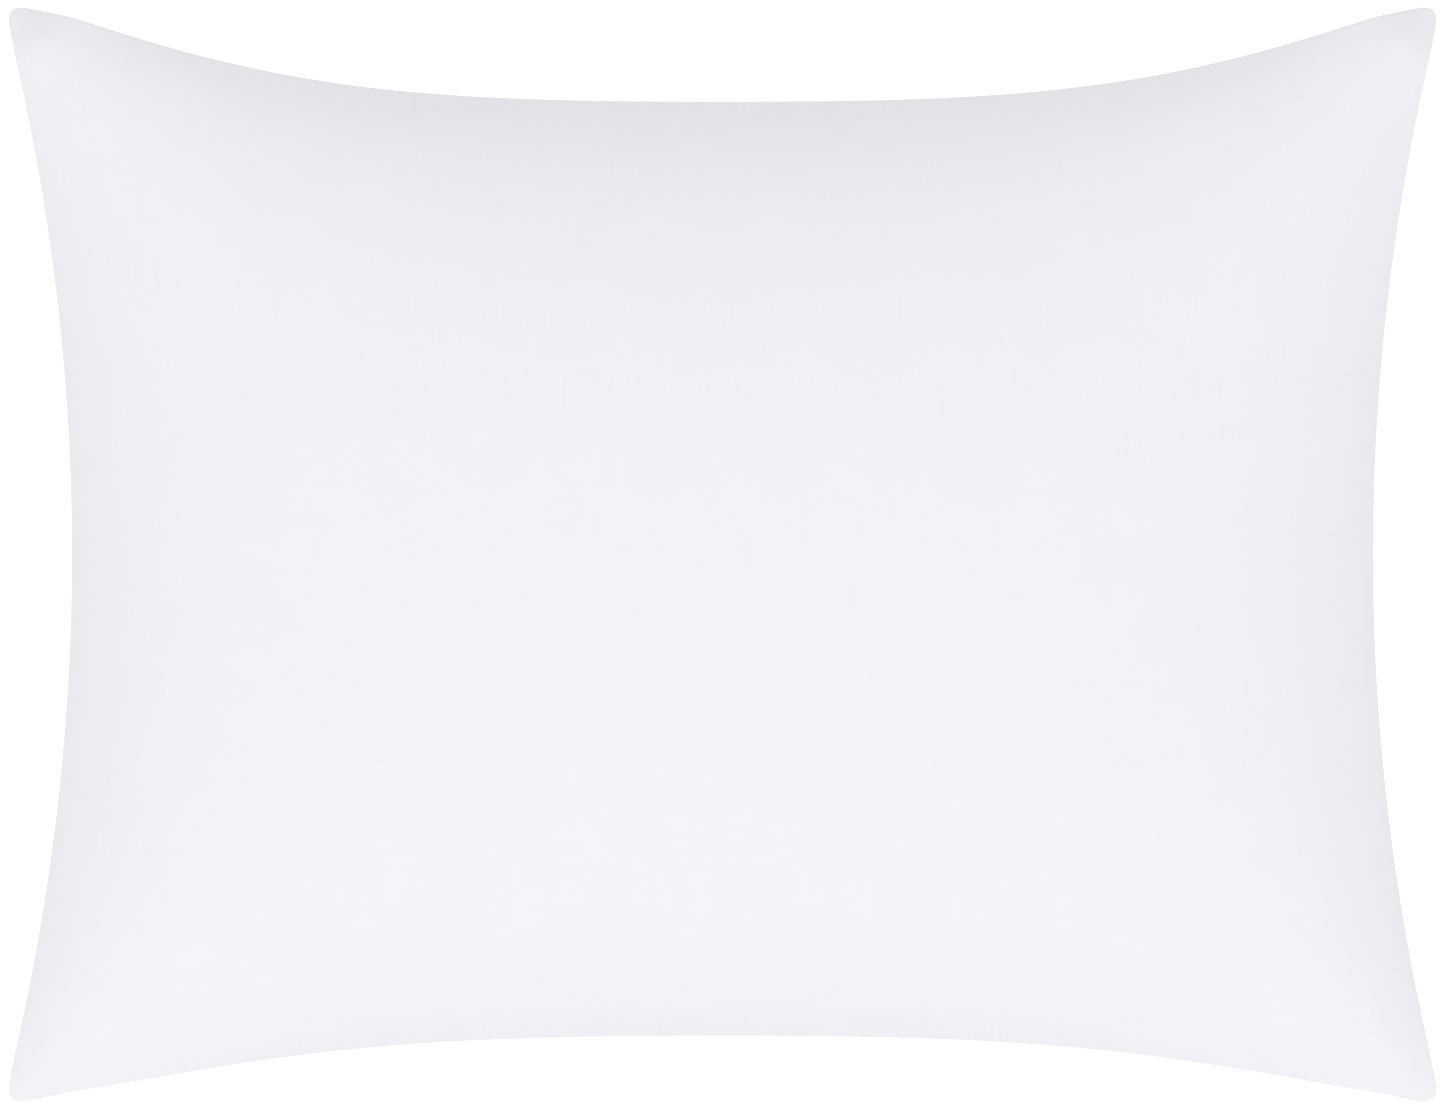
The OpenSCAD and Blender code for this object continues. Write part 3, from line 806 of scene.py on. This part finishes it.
def above(tree, value, low, high):
    """0 below low, 1 above high, and smooth between them."""
    made = node(tree, "ShaderNodeMapRange", [("Value", value)], interpolation_type="SMOOTHSTEP")
    made.inputs["From Min"].default_value = low
    made.inputs["From Max"].default_value = high
    return made.outputs[0]


# %% Woven cloth group


def make_weave():
    """The woven cloth group: place in metres in, height and tone out."""
    group, given, result = new_group(
        "woven cloth",
        [("Place", "NodeSocketVector", None), ("Threads per metre", "NodeSocketFloat", 2400.0),
         ("Slub", "NodeSocketFloat", 1.0), ("Mottle", "NodeSocketFloat", 1.0)],
        [("Height", "NodeSocketFloat"), ("Tone", "NodeSocketFloat")])
    place = given.outputs["Place"]
    # the threads wander a little to either side
    wander = stretched_noise(group, place, (130, 130, 1), 1.0)
    split = node(group, "ShaderNodeSeparateXYZ", [("Vector", place)])
    turns = maths(group, "MULTIPLY", given.outputs["Threads per metre"], math.pi)
    drift = maths(group, "MULTIPLY", maths(group, "SUBTRACT", wander, 0.5), 0.0006)
    waves = []
    for axis in ("X", "Y"):
        moved = maths(group, "ADD", split.outputs[axis], drift)
        waves.append(maths(group, "SINE", maths(group, "MULTIPLY", moved, turns)))
    chequer = maths(group, "MULTIPLY", waves[0], waves[1])
    # slubs are about 25 mm long and just over 1 mm wide, and lie both ways
    long_slub = above(group, stretched_noise(group, place, (38, 760, 1)), 0.58, 0.80)
    cross_slub = above(group, stretched_noise(group, place, (690, 42, 1)), 0.60, 0.82)
    slubs = maths(group, "MULTIPLY", maths(group, "ADD", long_slub, cross_slub),
                  given.outputs["Slub"])
    # single threads differ in thickness along the whole cloth
    yarns = maths(group, "ADD", stretched_noise(group, place, (22, 1500, 1), 1.0),
                  stretched_noise(group, place, (1400, 26, 1), 1.0))
    height = maths(group, "ADD", maths(group, "MULTIPLY", chequer, 0.35),
                   maths(group, "MULTIPLY", slubs, 0.9))
    height = maths(group, "ADD", height, maths(group, "MULTIPLY", yarns, 0.35))
    group.links.new(height, result.inputs["Height"])
    mottle = maths(group, "SUBTRACT", stretched_noise(group, place, (34, 30, 1), 4.0, 0.6), 0.5)
    tone = maths(group, "MULTIPLY", mottle, given.outputs["Mottle"])
    tone = maths(group, "ADD", tone, maths(group, "MULTIPLY", chequer, 0.10))
    tone = maths(group, "ADD", tone, maths(group, "MULTIPLY", slubs, 0.55))
    tone = maths(group, "ADD", tone, maths(group, "MULTIPLY",
                                           maths(group, "SUBTRACT", yarns, 1.0), 0.5))
    group.links.new(tone, result.inputs["Tone"])
    return group


weave = make_weave()

# %% [markdown]
# ## Cloth materials
# The group's tone picks a colour between a slightly darker and a slightly lighter one, and
# its height feeds a bump. The threads could be real geometry, but at over two thousand to
# the metre that would be tens of millions of faces. The shader is rough with a little sheen,
# the glow that loose fibre ends give washed cotton.

# %% Cloth


def cloth_material(name, dark, light, threads, slub, mottle, bump, roughness, sheen,
                   coordinate="UV"):
    """A woven material. threads is their number per metre, and bump their height in metres."""
    material = bpy.data.materials.new(name)
    material.use_nodes = True
    tree = material.node_tree
    shader = tree.nodes["Principled BSDF"]
    place = node(tree, "ShaderNodeTexCoord").outputs[coordinate]
    woven = node(tree, "ShaderNodeGroup", node_tree=weave)
    tree.links.new(place, woven.inputs["Place"])
    woven.inputs["Threads per metre"].default_value = threads
    woven.inputs["Slub"].default_value = slub
    woven.inputs["Mottle"].default_value = mottle
    pick = node(tree, "ShaderNodeMapRange", [("Value", woven.outputs["Tone"])])
    pick.inputs["From Min"].default_value = -1
    pick.inputs["From Max"].default_value = 1
    colour = node(tree, "ShaderNodeMix", data_type="RGBA")
    colour.inputs[6].default_value = (*dark, 1)
    colour.inputs[7].default_value = (*light, 1)
    tree.links.new(pick.outputs[0], colour.inputs[0])
    tree.links.new(colour.outputs[2], shader.inputs["Base Color"])
    relief = node(tree, "ShaderNodeBump", [("Height", woven.outputs["Height"])], Strength=1.0)
    relief.inputs["Distance"].default_value = bump
    tree.links.new(relief.outputs[0], shader.inputs["Normal"])
    shader.inputs["Roughness"].default_value = roughness
    shader.inputs["Specular IOR Level"].default_value = 0.2
    shader.inputs["Sheen Weight"].default_value = sheen
    shader.inputs["Sheen Roughness"].default_value = 0.5
    return material


def put(material, *pieces):
    """Gives each piece this one material."""
    for piece in pieces:
        piece.data.materials.clear()
        piece.data.materials.append(material)


cover_material = cloth_material(
    "washed cotton cover", (0.822, 0.814, 0.853), (0.906, 0.898, 0.941), threads=2400,
    slub=0.35, mottle=0.5, bump=0.00003, roughness=0.88, sheen=0.08)
liner_material = cloth_material(
    "thin liner cloth", (0.84, 0.84, 0.81), (0.92, 0.92, 0.89), threads=1500,
    slub=0.2, mottle=0.4, bump=0.00005, roughness=0.85, sheen=0.05)
put(cover_material, cover_front, cover_back)
put(liner_material, *liners)
print("weave on", [piece.name for piece in (cover_front, cover_back, *liners)])

# %% [markdown]
# ## Camera, light and floor
# The camera looks straight down on the pillow from far off, through a long lens, so that
# the pillow keeps its proportions. Light comes evenly from all round, with a broad soft
# lamp a little towards the lower edge. Several lamps would each add a shadow of their own,
# and white cloth shows them all. The floor is a pale sheet that glows slightly, and it glows
# less for the light that it throws up, so that the pillow's sides shade off. Under the
# pillow the glow that the camera sees is lowered in a patch shaped like the pillow's
# outline. That is a painted contact shadow.

# %% Camera
view_width = 0.6577
lens, sensor = 250, 36
view_depth = 50
scene = bpy.context.scene
scene.view_settings.view_transform = "Standard"
camera_data = bpy.data.cameras.new("camera")
camera_data.lens, camera_data.sensor_width = lens, sensor
camera = bpy.data.objects.new("camera", camera_data)
scene.collection.objects.link(camera)
camera.location = (0, 0, seam_height + view_width * lens / sensor)
camera_data.clip_end = view_depth
scene.camera = camera
print("camera height", round(camera.location.z, 3))

# %% Light
sun_strength, room_strength = 0.76, 0.81
sun_data = bpy.data.lights.new("soft lamp", "SUN")
sun_data.energy, sun_data.angle = sun_strength, math.radians(50)
sun = bpy.data.objects.new("soft lamp", sun_data)
sun.rotation_euler = (math.radians(19), math.radians(-2), 0)
scene.collection.objects.link(sun)

world = bpy.data.worlds.new("even light")
world.use_nodes = True
world.node_tree.nodes["Background"].inputs["Color"].default_value = (1, 1, 1, 1)
world.node_tree.nodes["Background"].inputs["Strength"].default_value = room_strength
scene.world = world
print("lamp", sun_strength, "room", room_strength)

# %% Floor
floor_size, floor_height = 60, -0.0005
bpy.ops.object.select_all(action="DESELECT")
bpy.ops.mesh.primitive_grid_add(x_subdivisions=8, y_subdivisions=8, size=floor_size,
                                location=(0, 0, floor_height))
floor = bpy.context.object
floor.name = "floor"
floor_material = bpy.data.materials.new("pale floor")
floor_material.use_nodes = True
floor_shader = floor_material.node_tree.nodes["Principled BSDF"]
floor_shader.inputs["Base Color"].default_value = (0.25, 0.25, 0.25, 1)
floor_shader.inputs["Roughness"].default_value = 1
floor_shader.inputs["Specular IOR Level"].default_value = 0
floor_shader.inputs["Emission Color"].default_value = (1, 1, 1, 1)
floor_tree = floor_material.node_tree
seen = node(floor_tree, "ShaderNodeLightPath").outputs["Is Camera Ray"]
ground = node(floor_tree, "ShaderNodeSeparateXYZ", [
    ("Vector", node(floor_tree, "ShaderNodeTexCoord").outputs["Object"])])
# painted contact shadow: a rounded patch the shape of the pillow's outline, 0 under the pillow
# and 1 outside it
painted_shadow_spread = [maths(floor_tree, "POWER", maths(floor_tree, "ABSOLUTE", maths(
    floor_tree, "DIVIDE", ground.outputs[axis], half)), 4)
    for axis, half in (("X", waist_x), ("Y", waist_y))]
outside_painted_shadow = above(floor_tree, maths(floor_tree, "ADD", *painted_shadow_spread), 0.15, 1.0)
# the camera sees the floor's glow lowered by the third value inside the patch, which is the
# painted shadow
thrown_glow, glow_outside_painted_shadow, painted_shadow_depth = 0.65, 0.65, 0.40
seen_glow_with_painted_shadow = maths(floor_tree, "SUBTRACT", maths(floor_tree, "MULTIPLY", outside_painted_shadow, glow_outside_painted_shadow),
                  painted_shadow_depth)
glow = maths(floor_tree, "ADD", maths(floor_tree, "MULTIPLY", seen, seen_glow_with_painted_shadow), thrown_glow)
floor_tree.links.new(glow, floor_shader.inputs["Emission Strength"])
put(floor_material, floor)
print("floor glow", thrown_glow, "and seen", round(thrown_glow + glow_outside_painted_shadow - painted_shadow_depth, 2))

# %% [markdown]
# ## Threads, ribbons and fibre
# The same group draws the finer goods with other values. Sewing thread has a tight twist and
# no cut of its own, so it reads Object coordinates. The zip's ribbon is coarse and flat, satin
# is fine and glossy, and the fibre is nearly all slub and mottle.

# %% Threads, ribbons and fibre
thread_material = cloth_material(
    "sewing thread", (0.80, 0.80, 0.82), (0.92, 0.92, 0.94), threads=3400,
    slub=0.3, mottle=1.0, bump=0.00008, roughness=0.6, sheen=0.1, coordinate="Object")
tape_material = cloth_material(
    "zip ribbon", (0.78, 0.78, 0.80), (0.90, 0.90, 0.92), threads=1700,
    slub=0.1, mottle=0.3, bump=0.00010, roughness=0.75, sheen=0.05)
label_material = cloth_material(
    "satin ribbon", (0.84, 0.84, 0.86), (0.93, 0.93, 0.95), threads=4200,
    slub=0.1, mottle=0.2, bump=0.00002, roughness=0.35, sheen=0.2)
fibre_material = cloth_material(
    "fluffed fibre", (0.82, 0.82, 0.82), (0.97, 0.97, 0.97), threads=300,
    slub=1.5, mottle=2.0, bump=0.0006, roughness=0.95, sheen=0.4)
put(thread_material, *stitch_rows, frame["nodes"]["cover_seam_thread"],
    frame["nodes"]["insert_seam_thread"], frame["nodes"]["insert_closing_thread"])
put(tape_material, *[piece for piece, _ in tapes])
put(label_material, label)
put(fibre_material, fibre)
print("materials", len(bpy.data.materials))

# %% [markdown]
# ## Nylon and enamelled metal
# The coils and stops are smooth nylon, and the slider and pull are cast and stamped metal
# under white enamel. Both have a fine grain that shows in the gloss more than in the colour.
# The enamel is a coat over a shader that isn't metallic, because paint hides the metal.

# %% Nylon and metal


def plain_material(name, dark, light, grain, bump, metallic, roughness, coat):
    """Nylon or enamelled metal: fine grain, slow change of tone, and wear in the roughness."""
    material = bpy.data.materials.new(name)
    material.use_nodes = True
    tree = material.node_tree
    shader = tree.nodes["Principled BSDF"]
    place = node(tree, "ShaderNodeTexCoord").outputs["Object"]
    slow = stretched_noise(tree, place, (grain / 8,) * 3, 3.0)
    fine = stretched_noise(tree, place, (grain,) * 3, 3.0)
    colour = node(tree, "ShaderNodeMix", data_type="RGBA")
    colour.inputs[6].default_value = (*dark, 1)
    colour.inputs[7].default_value = (*light, 1)
    tree.links.new(slow, colour.inputs[0])
    tree.links.new(colour.outputs[2], shader.inputs["Base Color"])
    worn = node(tree, "ShaderNodeMapRange", [("Value", fine)])
    worn.inputs["To Min"].default_value = roughness - 0.08
    worn.inputs["To Max"].default_value = roughness + 0.12
    tree.links.new(worn.outputs[0], shader.inputs["Roughness"])
    relief = node(tree, "ShaderNodeBump", [("Height", fine)], Strength=1.0)
    relief.inputs["Distance"].default_value = bump
    tree.links.new(relief.outputs[0], shader.inputs["Normal"])
    shader.inputs["Metallic"].default_value = metallic
    shader.inputs["Coat Weight"].default_value = coat
    shader.inputs["Coat Roughness"].default_value = 0.2
    return material


nylon_material = plain_material(
    "coil nylon", (0.80, 0.80, 0.82), (0.90, 0.90, 0.92), grain=2500, bump=0.00001,
    metallic=0, roughness=0.38, coat=0)
metal_material = plain_material(
    "enamelled zip metal", (0.70, 0.70, 0.72), (0.80, 0.80, 0.82), grain=3000, bump=0.00001,
    metallic=0, roughness=0.32, coat=0.5)
put(nylon_material, *coils, top_stops, bottom_stop)
put(metal_material, slider, pull)
print("nylon on", len(coils) + 2, "pieces, enamel on 2")

# %% [markdown]
# ## What rides on what
# All but the slider and its pull belong to the pillow. Each piece stands for its CAD node,
# which is hidden.

# %% Bodies and hidden CAD nodes
rows_of_pieces = [
    (cover_front, "pillow", "cover_cloth", ["cover_front"]),
    (cover_back, "pillow", "cover_cloth", ["cover_back"]),
    (liners[0], "pillow", "liner_cloth", ["insert_front"]),
    (liners[1], "pillow", "liner_cloth", ["insert_back"]),
    (fibre, "pillow", "fibre", ["fibre_fill"]),
    (tapes[0][0], "pillow", "zip_tape", ["zip_tape_front"]),
    (tapes[1][0], "pillow", "zip_tape", ["zip_tape_back"]),
    (coils[0], "pillow", "zip_coil", ["zip_coil_front"]),
    (coils[1], "pillow", "zip_coil", ["zip_coil_back"]),
    (top_stops, "pillow", "zip_coil", ["zip_top_stops"]),
    (bottom_stop, "pillow", "zip_coil", ["zip_bottom_stop"]),
    (stitch_rows[0], "pillow", "thread", ["zip_stitching_front"]),
    (stitch_rows[1], "pillow", "thread", ["zip_stitching_back"]),
    (label, "pillow", "label_ribbon", ["care_label"]),
    (slider, "slider", "zip_metal", ["zip_slider"]),
    (pull, "pull", "zip_metal", ["zip_pull"]),
]
for piece, body, finish, nodes in rows_of_pieces:
    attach(piece, body)
    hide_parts(*nodes)
